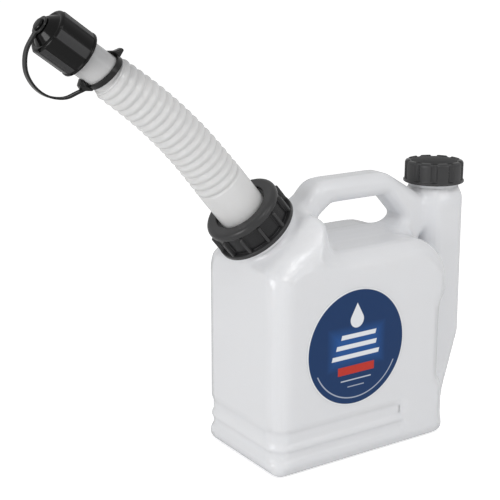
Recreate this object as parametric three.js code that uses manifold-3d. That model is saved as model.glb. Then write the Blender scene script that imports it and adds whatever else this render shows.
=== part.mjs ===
// A fuel mixing bottle: one blow-moulded bottle with a main chamber, a hollow carrying handle and a
// narrow oil measuring tower, a flexible corrugated spout held on its slanted neck by a ring nut, and a
// screw cap on the spout and on the tower. Millimetres, +Z up, X along the broad face with the spout at
// -X and the tower at +X. The origin is the centre of the main chamber's base.
import * as THREE from 'three';
import { mergeVertices } from 'three/addons/utils/BufferGeometryUtils.js';
import Module from 'manifold-3d';

const wasm = await Module();
wasm.setup();

// Main chamber
const bodyLength = 128.6;
const bodyWidth = 76;
const saddleHeight = 126;
const wall = 1.5;
const cornerRadius = 10;
const baseRadius = 7;
const saddleEdgeRadius = 9;
const shoulderRadius = 29;

// Slanted front shoulder and the hump behind it
const shoulderStartHeight = 119.5;
const shoulderSlope = 40;
const shoulderEdgeRadius = 17;
const shoulderStartRadius = 10;
const humpFrontRadius = 12;
const humpHeight = 145;
const humpTopLength = 9;
const humpSideRadius = 22;
const humpCornerRadius = 8;
const humpFlankLean = 5;

// Two grooves round the foot, and the shallow recess in the tower end
const grooveDepth = 1.4;
const lowerGrooveStart = 10.5;
const lowerGrooveEnd = 16.5;
const upperGrooveStart = 20;
const upperGrooveEnd = 28.5;
const grooveEndMargin = 36;
const recessDepth = 5;
const recessStart = 31;
const recessEnd = 93;
const recessRamp = 10;

// Oil measuring tower
const towerGap = 2.8;
const towerLength = 26.6;
const towerWidth = 32;
const towerHeight = 148;
const towerCornerRadius = 7;
const towerTopRadius = 5;
const towerTaperStart = 55;
const towerTaper = 14;
const towerFlare = 1.2;
const towerFootHeight = 30;
const towerFootClearance = 3;
const pinchWebThickness = 3;

// Handle, whose top stands over the hump by its rise
const handleRise = 18;
const handleDepth = 14;
const handleWidth = 20;
const handleEdgeRadius = 5.5;
const handleEdgeLand = 0.8;
const handleFrontX = -22;
const handleRearX = 36;
const legThickness = 15;
const handleRootDepth = 26;
const handleFrontRadius = 16;
const handleRearRadius = 14;
const handleHumpReach = 8;
const handleHumpRadius = 8;
const handleTowerRadius = 12;
const handleTowerInset = 2;
const legJoinDepth = 21;
const legJoinRise = 2;
const legJoinRadius = 6.5;

// Finger gap under the handle
const gapFrontX = -15;
const gapFrontDrop = 3.5;
const gapFrontRadius = 4;
const gapRoofX = -5;
const gapRoofRadius = 6;
const gapRearReach = 14;
const gapRearHeight = 8;
const gapRearRadius = 3.5;
const gapFootReach = 5;

// Pouring neck, on an axis that leans over the front shoulder
const neckTilt = 40;
const neckFootFromEnd = 16.8;
const neckLength = 19.75;
const neckRadius = 19.2;
const neckBore = 16;
const neckRootRadius = 20.4;
const neckRootHeight = 3;
const neckRootDepth = 8;
const neckBeadRadius = 21.6;
const neckBeadThickness = 2;

// Oil neck on the tower
const oilNeckLength = 13.4;
const oilNeckRadius = 15.2;
const oilNeckBore = 12.6;

// Clearances
const seatGap = 0.3;
const threadClearance = 0.4;
const labelGap = 0.1;

// Pour ring
const gasketThickness = 1;
const flangeThickness = 1.5;
const ringTopThickness = 2.5;
const ringSkirtBelowLip = 12.2;
const ringRadius = 22.8;
const ringWallRecess = 1.3;
const ringEdgeRadius = 2.5;
const ringRimRadius = 24.2;
const ringRimHeight = 2.4;
const ringBore = 15.6;
const ringRibs = 12;
const ringRibTurn = 13.5;
const ringRibWidth = 1.1;
const ringRibHeight = 2.4;
const ringRibTopMargin = 4.2;

// Flexible spout, measured along its centreline from the underside of its flange
const spoutStraight = 39.3;
const spoutBend = 13.5;
const spoutBendLength = 62;
const spoutBaseRadius = 13.9;
const spoutBaseLength = 26;
const spoutEndRadius = 11.9;
const corrugations = 18;
const corrugationPitch = 4.9;
const corrugationDepth = 1;
const spoutWall = 1.2;
const cuffRadius = 9.6;
const cuffLength = 19.3;
const tipRadius = 9.1;
const tipLength = 18;

// Spout cap and its strap
const capWallGap = 0.8;
const capRadius = 12.1;
const capRimRadius = 12.7;
const capRimHeight = 1.3;
const capTopThickness = 2.2;
const capEdgeRadius = 1.5;
const capBands = 6;
const capBandWidth = 5;
const capBandTurn = 30;
const capBandHeight = 0.45;
const linerThickness = 1;
const capConeRadius = 9.2;
const capConeTopRadius = 5.8;
const capConeHeight = 3.4;
const bossRadius = 1.7;
const bossHeadRadius = 4;
const bossHeadThickness = 1.4;
const strapThickness = 1.2;
const strapWidth = 4;
const strapRingThickness = 1.5;
const strapRingWidth = 2.2;
const strapRingFromCuffStart = 3.4;
const eyeletRadius = 5.2;
const strapTabLength = 4.5;
const strapTabWidth = 3;

// Oil cap
const oilCapRadius = 18.1;
const oilCapRimRadius = 18.8;
const oilCapRimHeight = 1.4;
const oilCapTopThickness = 2.2;
const oilCapDome = 0.9;
const oilCapFlutes = 10;
const oilCapFluteTurn = 12.5;
const oilCapFluteRadius = 2.4;
const oilCapFluteDepth = 1.4;
const oilCapRimGap = 3.7;

// Round label
const labelRadius = 35;
const labelThickness = 0.3;
const labelX = -8.9;
const labelHeight = 71;

const arcSteps = 5;
const roundSides = 32;
const spoutSides = 24;
const up = new THREE.Vector3(0, 0, 1);
const across = new THREE.Vector3(0, 1, 0);
const along = new THREE.Vector3(1, 0, 0);

// Turns a closed geometry into a solid that can be joined and cut.
function solid(geometry) {
  const bare = geometry.clone();
  bare.deleteAttribute('normal');
  bare.deleteAttribute('uv');
  const merged = mergeVertices(bare, 1e-4);
  const triangles = [];
  for (let i = 0; i < merged.index.count; i += 3) {
    const [a, b, c] = [0, 1, 2].map((k) => merged.index.getX(i + k));
    if (a !== b && b !== c && c !== a) triangles.push(a, b, c);
  }
  return new wasm.Manifold(new wasm.Mesh({
    numProp: 3,
    vertProperties: new Float32Array(merged.attributes.position.array),
    triVerts: new Uint32Array(triangles),
  }));
}

function part(name, form, material) {
  const mesh = form.getMesh();
  const geometry = new THREE.BufferGeometry();
  geometry.setAttribute('position', new THREE.BufferAttribute(mesh.vertProperties, 3));
  geometry.setIndex(new THREE.BufferAttribute(mesh.triVerts, 1));
  geometry.computeVertexNormals();
  const node = new THREE.Mesh(geometry, material);
  node.name = name;
  return node;
}

// The points of a closed outline through corners given as [x, y, radius], each rounded by an arc.
function rounded(corners) {
  return corners.flatMap(([x, y, radius = 0], i) => {
    const corner = new THREE.Vector2(x, y);
    const before = corners[(i + corners.length - 1) % corners.length];
    const after = corners[(i + 1) % corners.length];
    const back = new THREE.Vector2(before[0], before[1]).sub(corner).normalize();
    const ahead = new THREE.Vector2(after[0], after[1]).sub(corner).normalize();
    const half = Math.acos(THREE.MathUtils.clamp(back.dot(ahead), -1, 1)) / 2;
    if (radius <= 0) return [corner];
    const centre = back.clone().add(ahead).normalize().multiplyScalar(radius / Math.sin(half)).add(corner);
    const start = corner.clone().addScaledVector(back, radius / Math.tan(half)).sub(centre);
    const sweep = Math.PI - 2 * half;
    const side = back.x * ahead.y - back.y * ahead.x > 0 ? -1 : 1;
    const steps = Math.max(2, Math.ceil((arcSteps * sweep) / (Math.PI / 2)));
    return Array.from({ length: steps + 1 }, (_, k) => start.clone()
      .rotateAround(new THREE.Vector2(), (side * sweep * k) / steps)
      .add(centre));
  });
}

function roundedShape(corners) {
  return new THREE.Shape(rounded(corners));
}

// Extrudes a shape from one distance to another along the cross product of the directions that its own
// x and y take. An edge radius rounds both end faces' edges, and an inset draws every face inwards.
function prism(shape, xDirection, yDirection, from, to, edge = 0, inset = 0) {
  const geometry = new THREE.ExtrudeGeometry(shape, {
    depth: to - from - 2 * edge - 2 * inset,
    bevelEnabled: edge + inset > 0,
    bevelThickness: edge,
    bevelSize: edge,
    bevelOffset: -edge - inset,
    bevelSegments: edge > 0 ? 3 : 1,
  });
  geometry.translate(0, 0, from + edge + inset);
  const zDirection = new THREE.Vector3().crossVectors(xDirection, yDirection);
  geometry.applyMatrix4(new THREE.Matrix4().makeBasis(xDirection, yDirection, zDirection));
  return solid(geometry);
}

// A rectangle about x = 0 from bottom to top, with its own radius at the bottom and at the top.
function section(halfWidth, bottom, top, bottomRadius, topRadius) {
  return roundedShape([
    [-halfWidth, bottom, bottomRadius],
    [halfWidth, bottom, bottomRadius],
    [halfWidth, top, topRadius],
    [-halfWidth, top, topRadius],
  ]);
}

// Turns a closed profile of [radius, height] points about the Z axis.
function turned(profile, sides = roundSides) {
  const points = [...profile, profile[0]].map(([radius, height]) => new THREE.Vector2(radius, height));
  return solid(new THREE.LatheGeometry(points, sides).rotateX(Math.PI / 2));
}

// A round bar about the Z axis.
function bar(radius, from, to, sides = roundSides) {
  return turned([[0, from], [radius, from], [radius, to], [0, to]], sides);
}

function radians(degrees) {
  return THREE.MathUtils.degToRad(degrees);
}

function placed(form, matrix) {
  return form.transform(matrix.toArray());
}

// Places worked out from the sizes
const halfLength = bodyLength / 2;
const halfWidth = bodyWidth / 2;
const handleTop = humpHeight + handleRise;
const slopeRise = Math.tan(radians(shoulderSlope));
const humpFrontX = -halfLength + (humpHeight - shoulderStartHeight) / slopeRise;
const humpRearX = humpFrontX + humpTopLength;
const towerLeft = halfLength + towerGap;
const towerRight = towerLeft + towerLength;
const towerX = (towerLeft + towerRight) / 2;
const oilLip = towerHeight + oilNeckLength;
const grooveEndX = halfLength - grooveEndMargin;

// The inset is how far every face lies inside the outer surface: 0 for the outside, the wall's thickness
// for the hollow.
function mainChamber(inset) {
  const far = bodyLength;
  const end = halfLength - inset;
  const top = saddleHeight - inset;
  const footprint = prism(section(end, -halfWidth + inset, halfWidth - inset, cornerRadius - inset,
    cornerRadius - inset), along, across, inset, 2 * far, baseRadius - inset);
  const low = prism(roundedShape([
    [-end, -baseRadius],
    [end, -baseRadius],
    [end, top, shoulderRadius - inset],
    [-end, top],
  ]), along, up, -far, far);
  const lowSection = prism(section(halfWidth - inset, -baseRadius, top, 0, saddleEdgeRadius - inset),
    across, up, -far, far);
  const humpTop = humpHeight - inset;
  const humpBase = saddleHeight / 2;
  const hump = prism(roundedShape([
    [-end, humpBase],
    [humpRearX + humpFlankLean - inset, humpBase],
    [humpRearX + humpFlankLean - inset, saddleHeight - humpCornerRadius],
    [humpRearX - inset, humpTop, humpCornerRadius - inset],
    [-end, humpTop],
  ]), along, up, -far, far);
  const humpSection = prism(section(halfWidth - inset, 0, humpTop, 0, humpSideRadius - inset),
    across, up, -far, far);
  const slopeDirection = new THREE.Vector3(Math.cos(radians(shoulderSlope)), 0,
    Math.sin(radians(shoulderSlope)));
  const slopeNormal = new THREE.Vector3().crossVectors(slopeDirection, across);
  const slopeStart = new THREE.Vector3(-halfLength, 0, shoulderStartHeight);
  const slopeLimit = prism(section(halfWidth - inset, -2 * far, -inset, 0, shoulderEdgeRadius - inset),
    across, slopeNormal, -far, far).translate(slopeStart.toArray());
  const slopeInset = inset * (1 / Math.cos(radians(shoulderSlope)) - slopeRise);
  const front = prism(roundedShape([
    [-end, -far],
    [far, -far],
    [far, humpTop],
    [humpFrontX + slopeInset, humpTop, humpFrontRadius],
    [-end, shoulderStartHeight - slopeInset, shoulderStartRadius],
  ]), along, up, -far, far);
  return low.intersect(lowSection)
    .add(hump.intersect(humpSection))
    .intersect(slopeLimit)
    .intersect(front)
    .intersect(footprint);
}

// A groove round the front end and both broad sides, up to where it stops short of the tower end.
function groove(start, end, inset) {
  const reach = bodyLength;
  const depth = grooveDepth + inset;
  const band = prism(section(reach, -reach, reach, 0, 0), along, across, start - inset, end + inset);
  const core = prism(section(halfLength - depth, -halfWidth + depth, halfWidth - depth,
    cornerRadius - grooveDepth, cornerRadius - grooveDepth), along, across, start - inset - 1, end + inset + 1);
  const keep = prism(section(reach, -reach, reach, 0, 0), along, across, start - inset, end + inset)
    .translate([reach + grooveEndX + inset, 0, 0]);
  return band.subtract(core).subtract(keep);
}

// The shallow recess across the tower end, with a ramp at its top and bottom.
function endRecess(inset) {
  const face = halfLength - recessDepth - inset;
  const outside = halfLength + recessDepth;
  return prism(roundedShape([
    [face, recessStart + recessRamp - inset, recessDepth],
    [outside, recessStart - recessRamp - inset],
    [outside, recessEnd + recessRamp + inset],
    [face, recessEnd - recessRamp + inset, recessDepth],
  ]), along, up, -bodyWidth, bodyWidth);
}

// The tower's right face leans in towards its foot, and its left face stands clear of the main chamber.
function tower(inset) {
  const foot = towerFootClearance + inset;
  const right = towerRight - inset;
  const left = towerLeft + inset;
  const side = prism(roundedShape([
    [left, foot, 2],
    [right - towerTaper, foot, towerTopRadius],
    [right + towerFlare, towerTaperStart, towerTopRadius],
    [right, towerHeight - inset, towerTopRadius - inset],
    [left, towerHeight - inset, towerTopRadius - inset],
  ]), along, up, -towerWidth, towerWidth);
  const plan = prism(section((towerLength + towerFlare) / 2 - inset, -towerWidth / 2 + inset,
    towerWidth / 2 - inset, towerCornerRadius - inset, towerCornerRadius - inset), along, across, 0,
  2 * towerHeight).translate([towerX + towerFlare / 2, 0, 0]);
  const cross = prism(section(towerWidth / 2 - inset, foot, towerHeight - inset, 0,
    towerTopRadius - inset), across, up, 0, 2 * towerRight);
  return side.intersect(plan).intersect(cross);
}

// The foot that joins the tower to the main chamber, and the pinched web above it.
function towerLink() {
  const reach = towerX - halfLength;
  const foot = prism(roundedShape([
    [halfLength - cornerRadius, towerFootClearance],
    [halfLength + reach, towerFootClearance],
    [halfLength + reach, towerFootHeight],
    [halfLength - cornerRadius, towerFootHeight],
  ]), along, up, -towerWidth / 2, towerWidth / 2, 1);
  const web = prism(roundedShape([
    [halfLength - shoulderRadius, towerFootHeight - 1],
    [towerLeft + towerCornerRadius, towerFootHeight - 1],
    [towerLeft + towerCornerRadius, saddleHeight],
    [halfLength - shoulderRadius, saddleHeight - shoulderRadius],
  ]), along, up, -pinchWebThickness / 2, pinchWebThickness / 2);
  return foot.add(web);
}

// The handle's side outline: it rises from the hump, runs level over the finger gap and comes down on the
// rear shoulder, where its leg also meets the tower.
function handle(inset) {
  const under = handleTop - handleDepth;
  const meeting = towerHeight - towerTopRadius / 2;
  const join = towerHeight - legJoinDepth;
  const outline = roundedShape([
    [handleFrontX - legThickness, saddleHeight - handleRootDepth],
    [halfLength - legThickness / 2, saddleHeight - handleRootDepth],
    [halfLength + towerGap / 2, join - legJoinRise, legJoinRadius],
    [towerLeft + towerCornerRadius, join],
    [towerLeft + towerCornerRadius, meeting - towerCornerRadius],
    [towerLeft - handleTowerInset, meeting, handleTowerRadius],
    [handleRearX, handleTop, handleRearRadius],
    [handleFrontX + handleDepth / 2, handleTop, handleFrontRadius],
    [handleFrontX - handleHumpReach, humpHeight, handleHumpRadius],
  ]);
  const gapRear = [
    [handleRearX, under, gapRearRadius],
    [handleRearX + gapRearReach, saddleHeight + gapRearHeight, gapRearRadius],
  ];
  outline.holes.push(new THREE.Path(rounded([
    [gapFrontX, saddleHeight - gapFootReach],
    [gapFrontX, humpHeight - gapFrontDrop, gapFrontRadius],
    [gapRoofX, under, gapRoofRadius],
    ...gapRear,
    [handleRearX + gapFootReach, saddleHeight - gapFootReach],
  ])));
  // The edges' rounding fits in the thinnest place between the finger gap and the rear slope.
  const slopeFoot = new THREE.Vector2(towerLeft - handleTowerInset, meeting);
  const slopeWay = new THREE.Vector2(handleRearX, handleTop).sub(slopeFoot).normalize();
  const thinnest = Math.min(...gapRear.map(([x, z]) => Math.abs(slopeWay.cross(
    new THREE.Vector2(x, z).sub(slopeFoot),
  ))));
  const edge = Math.min(handleEdgeRadius, (thinnest - handleEdgeLand) / 2);
  return prism(outline, along, up, -handleWidth / 2, handleWidth / 2, edge - inset, inset);
}

const tilt = radians(neckTilt);
const neckFoot = new THREE.Vector3(-halfLength + neckFootFromEnd, 0,
  shoulderStartHeight + neckFootFromEnd * slopeRise);

// Stands a form made about the Z axis on the slanted neck, a distance along it from the shoulder.
function onNeck(form, distance = 0) {
  const matrix = new THREE.Matrix4().makeRotationY(-tilt).setPosition(neckFoot);
  return placed(form.translate([0, 0, distance]), matrix);
}

const ringSkirtStart = neckLength - ringSkirtBelowLip;

function pouringNeck() {
  const beadTop = ringSkirtStart - 1;
  return onNeck(turned([
    [0, -neckRootDepth],
    [neckRootRadius, -neckRootDepth],
    [neckRootRadius, neckRootHeight],
    [neckBeadRadius, beadTop - neckBeadThickness],
    [neckBeadRadius, beadTop],
    [neckRadius, beadTop],
    [neckRadius, neckLength],
    [0, neckLength],
  ]));
}

function bottleForm() {
  const outer = mainChamber(0)
    .subtract(groove(lowerGrooveStart, lowerGrooveEnd, 0))
    .subtract(groove(upperGrooveStart, upperGrooveEnd, 0))
    .subtract(endRecess(0))
    .add(tower(0))
    .add(towerLink())
    .add(handle(0))
    .add(pouringNeck())
    .add(bar(oilNeckRadius, towerHeight - wall, oilLip).translate([towerX, 0, 0]));
  const hollow = mainChamber(wall)
    .subtract(groove(lowerGrooveStart, lowerGrooveEnd, wall))
    .subtract(groove(upperGrooveStart, upperGrooveEnd, wall))
    .subtract(endRecess(wall))
    .add(tower(wall))
    .add(handle(wall))
    .add(onNeck(bar(neckBore, -1.5 * neckRootDepth, neckLength + 1)))
    .add(bar(oilNeckBore, towerHeight - 2 * wall, oilLip + 1).translate([towerX, 0, 0]));
  return outer.subtract(hollow);
}

// The ring nut stands on the neck: its top plate clamps the spout's flange and the gasket on the lip.
const flangeStart = neckLength + 2 * seatGap + gasketThickness;
const ringPlateStart = flangeStart + flangeThickness + seatGap;
const ringTop = ringPlateStart + ringTopThickness;
const ringThreadBore = neckRadius + threadClearance;

function pourRingForm() {
  const wallRadius = ringRadius - ringWallRecess;
  const edgeStart = ringTop - ringEdgeRadius;
  const ribTop = ringTop - ringRibTopMargin;
  const ring = turned([
    [ringThreadBore, ringSkirtStart],
    [ringRimRadius, ringSkirtStart],
    [ringRimRadius, ringSkirtStart + ringRimHeight],
    [wallRadius, ringSkirtStart + ringRimHeight],
    [wallRadius, ribTop],
    [ringRadius, ribTop],
    [ringRadius, edgeStart],
    [ringRadius - 0.3 * ringEdgeRadius, ringTop - 0.3 * ringEdgeRadius],
    [ringRadius - ringEdgeRadius, ringTop],
    [ringBore + 0.5, ringTop],
    [ringBore, ringTop - 0.5],
    [ringBore, ringPlateStart],
    [ringThreadBore, ringPlateStart],
  ], 2 * roundSides);
  const ribStart = ringSkirtStart + ringRimHeight / 2;
  const rib = prism(section(ringRibWidth / 2, ringThreadBore + 1, ringRadius - ringWallRecess + ringRibHeight,
    0, 0), along, across, ribStart, ribTop - 0.5);
  return Array.from({ length: ringRibs }, (_, i) => rib.rotate([0, 0, ringRibTurn + (360 * i) / ringRibs]))
    .reduce((whole, each) => whole.add(each), ring);
}

// The spout's centreline: straight out of the neck, a gentle bend, and straight to the tip. Gives the
// point and the lean from the vertical at a distance from the flange's underside.
const bendRadius = spoutBendLength / radians(spoutBend);
const spoutStart = neckFoot.clone().add(new THREE.Vector3(-Math.sin(tilt), 0, Math.cos(tilt))
  .multiplyScalar(flangeStart));

function centreline(distance) {
  const straight = Math.min(distance, spoutStraight);
  const turn = THREE.MathUtils.clamp(distance - spoutStraight, 0, spoutBendLength) / bendRadius;
  const rest = Math.max(distance - spoutStraight - spoutBendLength, 0);
  const lean = tilt + turn;
  const point = spoutStart.clone();
  point.x -= straight * Math.sin(tilt) + bendRadius * (Math.cos(tilt) - Math.cos(lean)) + rest * Math.sin(lean);
  point.z += straight * Math.cos(tilt) + bendRadius * (Math.sin(lean) - Math.sin(tilt)) + rest * Math.cos(lean);
  return { point, lean };
}

const corrugationStart = spoutBaseLength;
const corrugationEnd = corrugationStart + corrugations * corrugationPitch;
const cuffEnd = corrugationEnd + cuffLength;
const tipEnd = cuffEnd + tipLength;

// The flexible spout: a closed profile of [radius, distance] points, turned and then bent along the
// centreline, so that the inside follows the outside at the wall's thickness.
function spoutForm() {
  const outside = [];
  const inside = [];
  for (let i = 0; i < corrugations; i += 1) {
    const start = corrugationStart + i * corrugationPitch;
    const crest = THREE.MathUtils.lerp(spoutBaseRadius, spoutEndRadius, i / corrugations);
    const valley = crest - corrugationDepth;
    outside.push([valley, start], [crest, start + 0.3 * corrugationPitch], [crest, start + 0.7 * corrugationPitch]);
    inside.unshift([crest - spoutWall, start + 0.5 * corrugationPitch], [valley - spoutWall, start]);
  }
  const profile = [
    [spoutBaseRadius - spoutWall, 0],
    [neckRadius - 0.6, 0],
    [neckRadius - 0.6, flangeThickness],
    [spoutBaseRadius, flangeThickness],
    ...outside,
    [cuffRadius, corrugationEnd],
    [cuffRadius, cuffEnd],
    [tipRadius, cuffEnd],
    [tipRadius, tipEnd],
    [tipRadius - spoutWall, tipEnd],
    [tipRadius - spoutWall, cuffEnd],
    [cuffRadius - spoutWall, corrugationEnd],
    ...inside,
  ];
  const points = [...profile, profile[0]].map(([radius, distance]) => new THREE.Vector2(radius, distance));
  const geometry = new THREE.LatheGeometry(points, spoutSides);
  const position = geometry.attributes.position;
  for (let i = 0; i < position.count; i += 1) {
    const { point, lean } = centreline(position.getY(i));
    const side = position.getX(i);
    position.setXYZ(i, point.x + side * Math.cos(lean), -position.getZ(i), point.z + side * Math.sin(lean));
  }
  return solid(geometry);
}

// Stands a form made about the Z axis on the spout's centreline at a distance from the flange.
function onSpout(form, distance) {
  const { point, lean } = centreline(distance);
  return placed(form, new THREE.Matrix4().makeRotationY(-lean).setPosition(point));
}

const capBore = tipRadius + capWallGap;
const capRim = cuffEnd + seatGap;
const capInside = tipLength + linerThickness + seatGap;
const capLength = capInside + capTopThickness;
const eyeletStart = capLength + capConeHeight + seatGap;
const headStart = eyeletStart + strapThickness + seatGap;

function spoutCapForm() {
  const cap = turned([
    [0, capInside],
    [capBore, capInside],
    [capBore, 0],
    [capRimRadius, 0],
    [capRimRadius, capRimHeight],
    [capRadius, capRimHeight],
    [capRadius, capLength - capEdgeRadius],
    [capRadius - capEdgeRadius, capLength],
    [capConeRadius, capLength],
    [capConeTopRadius, capLength + capConeHeight],
    [bossRadius, capLength + capConeHeight],
    [bossRadius, headStart],
    [bossHeadRadius, headStart],
    [bossHeadRadius - 0.5, headStart + bossHeadThickness],
    [0, headStart + bossHeadThickness],
  ]);
  const band = prism(section(capBandWidth / 2, capBore + 0.5, capRadius + capBandHeight, 0, 0.3),
    along, across, capRimHeight / 2, capLength - capEdgeRadius);
  return Array.from({ length: capBands }, (_, i) => band.rotate([0, 0, capBandTurn + (360 * i) / capBands]))
    .reduce((whole, each) => whole.add(each), cap);
}

// The strap is one moulding: a ring round the cuff, a thin ribbon that loops below the cap, an eyelet
// under the head of the cap's boss, and two tabs on the ring. It is drawn in the cap's own directions:
// distance along the spout past the cap's rim, and distance below its axis.
function strapForm() {
  const ringAt = corrugationEnd + strapRingFromCuffStart - capRim;
  const ringOuter = cuffRadius + seatGap + strapRingThickness;
  const eyelet = eyeletStart + strapThickness / 2;
  const route = new THREE.SplineCurve([
    new THREE.Vector2(eyelet, eyeletRadius - 1),
    new THREE.Vector2(eyelet - 0.6, capRadius + 0.6),
    new THREE.Vector2(eyelet - 3.2, capRadius + 6.6),
    new THREE.Vector2(eyelet - 7.3, capRadius + 11.1),
    new THREE.Vector2(eyelet - 13.3, capRadius + 13.9),
    new THREE.Vector2(eyelet - 19.8, capRadius + 14.5),
    new THREE.Vector2(eyelet - 25.8, capRadius + 12.9),
    new THREE.Vector2(eyelet - 31.2, capRadius + 9.4),
    new THREE.Vector2(eyelet - 35.2, capRadius + 3.2),
    new THREE.Vector2(ringAt, ringOuter - 0.6),
  ]);
  const samples = 32;
  const edge = (side) => Array.from({ length: samples + 1 }, (_, i) => {
    const tangent = route.getTangentAt(i / samples);
    return route.getPointAt(i / samples)
      .add(new THREE.Vector2(-tangent.y, tangent.x).multiplyScalar((side * strapThickness) / 2));
  });
  const ribbonShape = new THREE.Shape([...edge(1), ...edge(-1).reverse()]);
  const down = along.clone().negate();
  const ribbon = prism(ribbonShape, up, down, -strapWidth / 2, strapWidth / 2);
  const ring = turned([
    [cuffRadius + seatGap, ringAt - strapRingWidth / 2],
    [ringOuter, ringAt - strapRingWidth / 2],
    [ringOuter, ringAt + strapRingWidth / 2],
    [cuffRadius + seatGap, ringAt + strapRingWidth / 2],
  ]);
  const eyeletRing = turned([
    [bossRadius + seatGap, eyeletStart],
    [eyeletRadius, eyeletStart],
    [eyeletRadius, eyeletStart + strapThickness],
    [bossRadius + seatGap, eyeletStart + strapThickness],
  ]);
  const tab = prism(section(strapTabWidth / 2, ringOuter - 0.5, ringOuter + strapTabLength, 0, 1),
    across.clone().negate(), along, ringAt - strapRingWidth / 2, ringAt + strapRingWidth / 2);
  return ribbon.add(ring).add(eyeletRing).add(tab);
}

function oilCapForm() {
  const rim = towerHeight + oilCapRimGap;
  const inside = oilLip + 2 * seatGap + linerThickness;
  const top = inside + oilCapTopThickness;
  const bore = oilNeckRadius + threadClearance;
  const edge = top - 1;
  const cap = turned([
    [0, inside],
    [bore, inside],
    [bore, rim],
    [oilCapRimRadius, rim],
    [oilCapRimRadius, rim + oilCapRimHeight],
    [oilCapRadius, rim + oilCapRimHeight],
    [oilCapRadius, edge],
    [oilCapRadius - 1, top],
    [oilCapRadius - 3, top],
    [oilCapRadius * 0.6, top + 0.7 * oilCapDome],
    [0, top + oilCapDome],
  ], 2 * roundSides);
  const fluteCentre = oilCapRadius - oilCapFluteDepth + oilCapFluteRadius;
  const flute = bar(oilCapFluteRadius, rim + oilCapRimHeight, top + oilCapDome + 1, 12)
    .translate([fluteCentre, 0, 0]);
  return Array.from({ length: oilCapFlutes }, (_, i) => flute.rotate([0, 0, oilCapFluteTurn + (360 * i) / oilCapFlutes]))
    .reduce((whole, each) => whole.subtract(each), cap);
}

const hdpe = new THREE.MeshStandardMaterial({ color: 0xdfe1e4, roughness: 0.42, metalness: 0 });
const satinBlack = new THREE.MeshStandardMaterial({ color: 0x3c3c3e, roughness: 0.5, metalness: 0 });
const glossBlack = new THREE.MeshStandardMaterial({ color: 0x1c1c1d, roughness: 0.25, metalness: 0 });
const foam = new THREE.MeshStandardMaterial({ color: 0xe9e9e4, roughness: 0.8, metalness: 0 });
const rubber = new THREE.MeshStandardMaterial({ color: 0x1a1a1a, roughness: 0.8, metalness: 0 });
const printedBlue = new THREE.MeshStandardMaterial({ color: 0x1f3f6e, roughness: 0.4, metalness: 0 });

const gasket = onNeck(turned([
  [neckBore, 0],
  [neckRadius - 0.6, 0],
  [neckRadius - 0.6, gasketThickness],
  [neckBore, gasketThickness],
]), neckLength + seatGap);
const spoutLiner = bar(capBore - seatGap, 0, linerThickness - seatGap);
const oilLiner = bar(oilNeckRadius - 0.4, oilLip + seatGap, oilLip + seatGap + linerThickness)
  .translate([towerX, 0, 0]);
const labelDisc = bar(labelRadius, 0, labelThickness, 2 * roundSides)
  .rotate([90, 0, 0])
  .translate([labelX, -halfWidth - labelGap, labelHeight]);

const bottle = new THREE.Group();
bottle.add(part('bottle', bottleForm(), hdpe));
bottle.add(part('label', labelDisc, printedBlue));
bottle.add(part('pour_ring', onNeck(pourRingForm()), satinBlack));
bottle.add(part('spout_gasket', gasket, rubber));
bottle.add(part('flexible_spout', spoutForm(), hdpe));
bottle.add(part('spout_cap', onSpout(spoutCapForm(), capRim), glossBlack));
bottle.add(part('spout_cap_liner', onSpout(spoutLiner, tipEnd + seatGap), foam));
bottle.add(part('cap_strap', onSpout(strapForm(), capRim), glossBlack));
bottle.add(part('oil_cap', oilCapForm().translate([towerX, 0, 0]), satinBlack));
bottle.add(part('oil_cap_liner', oilLiner, foam));

export default bottle;
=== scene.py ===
"""The finished look of the fuel mixing bottle, built over the part's frame.

Lengths are in millimetres until a mesh is made. Every piece is a surface from a formula.
"""

import math

import bmesh
import bpy
import numpy as np
import openvdb
from mathutils import Matrix, Vector


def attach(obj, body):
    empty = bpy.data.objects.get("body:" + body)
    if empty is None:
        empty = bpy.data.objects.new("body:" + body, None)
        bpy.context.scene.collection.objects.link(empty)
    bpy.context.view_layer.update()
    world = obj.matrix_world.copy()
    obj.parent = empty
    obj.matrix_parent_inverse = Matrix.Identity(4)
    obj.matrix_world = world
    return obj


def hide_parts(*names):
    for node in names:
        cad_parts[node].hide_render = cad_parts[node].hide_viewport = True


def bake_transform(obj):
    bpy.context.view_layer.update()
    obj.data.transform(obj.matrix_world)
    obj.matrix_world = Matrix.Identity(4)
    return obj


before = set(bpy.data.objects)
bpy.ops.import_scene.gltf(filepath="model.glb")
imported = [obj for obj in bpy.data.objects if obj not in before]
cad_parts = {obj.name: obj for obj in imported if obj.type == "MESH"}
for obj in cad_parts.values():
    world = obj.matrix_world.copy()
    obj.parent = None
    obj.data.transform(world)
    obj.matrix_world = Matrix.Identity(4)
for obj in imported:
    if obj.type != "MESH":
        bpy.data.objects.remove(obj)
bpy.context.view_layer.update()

MM = 0.001

# The bottle
HALF_LENGTH = 64.3
HALF_WIDTH = 38.0
SADDLE = 127.5
HUMP = 147.5
WALL = 1.5
HANDLE_HALF = 10.0
HANDLE_TOP = 163.0
TOWER_X = 80.4
TOWER_HALF = 16.0
TOWER_START = 67.1
TOWER_TOP = 148.0

# The necks and their threads
THREAD_PITCH = 4.0
NECK_TILT = math.radians(40)
NECK_FOOT = np.array([-47.5, 133.597])
NECK_RADIUS = 19.2
NECK_BORE = 16.0
NECK_BEAD = 6.55
NECK_LIP = 19.75
OIL_NECK_RADIUS = 15.2
OIL_NECK_BORE = 12.6
OIL_NECK_START = 146.9
OIL_LIP = 161.4

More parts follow.
